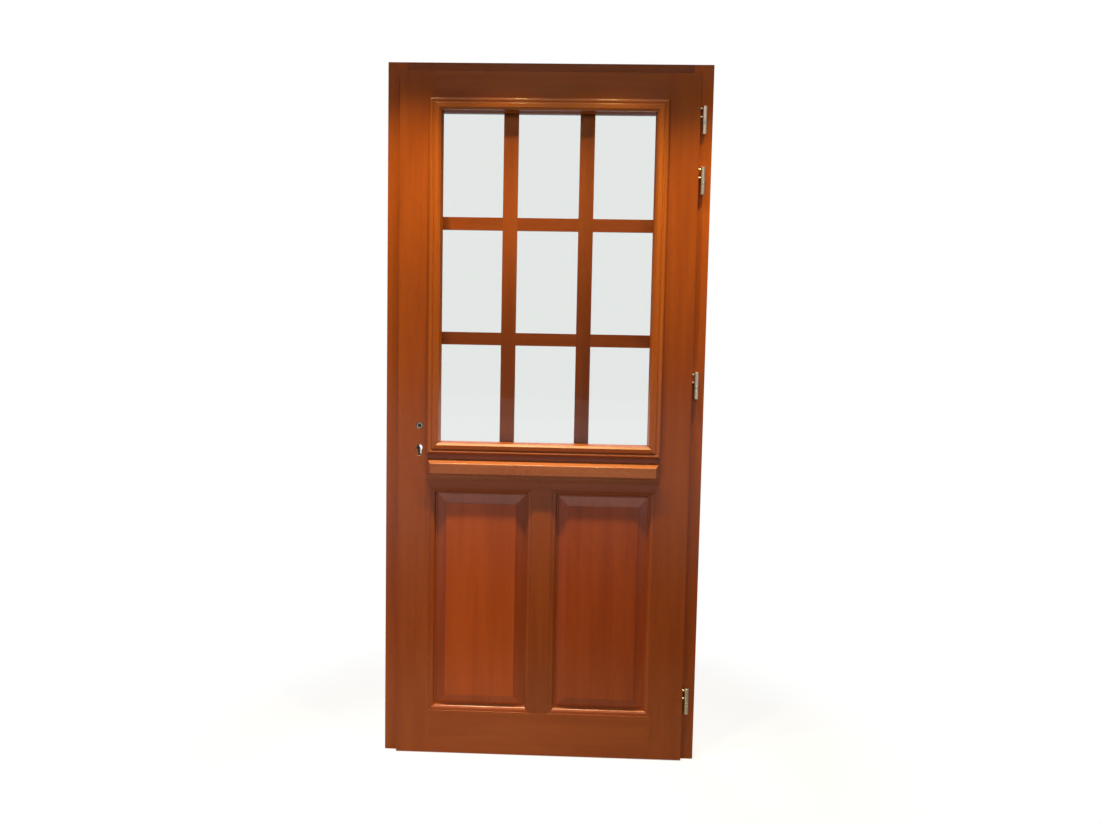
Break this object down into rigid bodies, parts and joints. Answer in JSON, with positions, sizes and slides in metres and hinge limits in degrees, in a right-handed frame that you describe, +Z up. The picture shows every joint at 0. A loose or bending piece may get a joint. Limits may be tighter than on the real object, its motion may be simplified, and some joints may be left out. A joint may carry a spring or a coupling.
{
  "type": "glazed front door",
  "caption": "Glazed wooden entrance door in its frame: a lipped leaf with a barred light of insulating glass over raised panels, on barrel hinges, with a mortice lock",
  "frame": {"origin": "middle of the underside of the threshold, on the floor, at half the frame's width and depth", "axes": "+Z up; -Y towards the room, the side the leaf opens to; +X to the hinges"},
  "size_m": [1, 0.114, 2.185],
  "materials": {
    "frame_wood": "varnished red-brown hardwood",
    "leaf_wood": "varnished red-brown hardwood",
    "bar_wood": "varnished red-brown hardwood",
    "glass": "clear float glass",
    "plated_steel": "satin nickel plating",
    "steel": "plain zinc plating",
    "threshold": "plain mill finish",
    "seal": "matt black"
  },
  "bodies": {
    "frame": {"jamb_left": "frame_wood", "jamb_right": "frame_wood", "frame_head": "frame_wood", "threshold": "threshold", "gasket_left": "seal", "gasket_right": "seal", "gasket_head": "seal", "strike_plate": "steel", "strike_screws": "steel", "hinge_top_ring": "steel", "hinge_top_frame_knuckle": "plated_steel", "hinge_top_pin": "steel", "hinge_second_ring": "steel", "hinge_second_frame_knuckle": "plated_steel", "hinge_second_pin": "steel", "hinge_middle_ring": "steel", "hinge_middle_frame_knuckle": "plated_steel", "hinge_middle_pin": "steel", "hinge_bottom_ring": "steel", "hinge_bottom_frame_knuckle": "plated_steel", "hinge_bottom_pin": "steel"},
    "leaf": {"stile_lock": "leaf_wood", "stile_hinge": "leaf_wood", "rail_top": "leaf_wood", "rail_middle": "leaf_wood", "rail_bottom": "leaf_wood", "mullion": "leaf_wood", "panel_left": "leaf_wood", "panel_right": "leaf_wood", "dado_moulding": "leaf_wood", "bead_top": "leaf_wood", "bead_bottom": "leaf_wood", "bead_left": "leaf_wood", "bead_right": "leaf_wood", "glass_inner": "glass", "glass_outer": "glass", "glass_spacer": "seal", "setting_blocks": "seal", "bar_upright_left": "bar_wood", "bar_upright_right": "bar_wood", "bar_level_upper": "bar_wood", "bar_level_lower": "bar_wood", "bottom_seal": "seal", "lock_case": "steel", "lock_cover": "steel", "lock_faceplate": "steel", "faceplate_screws": "steel", "latch_spring": "steel", "hinge_top_leaf_knuckle": "plated_steel", "hinge_second_leaf_knuckle": "plated_steel", "hinge_middle_leaf_knuckle": "plated_steel", "hinge_bottom_leaf_knuckle": "plated_steel"},
    "latch": {"latch_bolt": "plated_steel"},
    "dead_bolt": {"dead_bolt": "plated_steel"},
    "follower": {"follower": "steel"}
  },
  "joints": [
    {"name": "leaf_swing", "type": "hinge", "parent": "frame", "child": "leaf", "pos_m": [0.473, -0.048, 0], "axis": [0, 0, 1], "range_deg": [0, 170]},
    {"name": "follower_turn", "type": "hinge", "parent": "leaf", "child": "follower", "pos_m": [-0.391, -0.019, 1.065], "axis": [0, 1, 0], "range_deg": [0, 40]},
    {"name": "latch_slide", "type": "slide", "parent": "leaf", "child": "latch", "axis": [1, 0, 0], "range_m": [0, 0.012], "stiffness_N_per_m": 300, "springref_m": -0.01, "deforming": ["latch_spring"]},
    {"name": "dead_bolt_slide", "type": "slide", "parent": "leaf", "child": "dead_bolt", "axis": [-1, 0, 0], "range_m": [0, 0.02]}
  ],
  "couplings": [
    {"joint": "follower_turn", "follows": "latch_slide", "rad_per_m": 58.178}
  ]
}
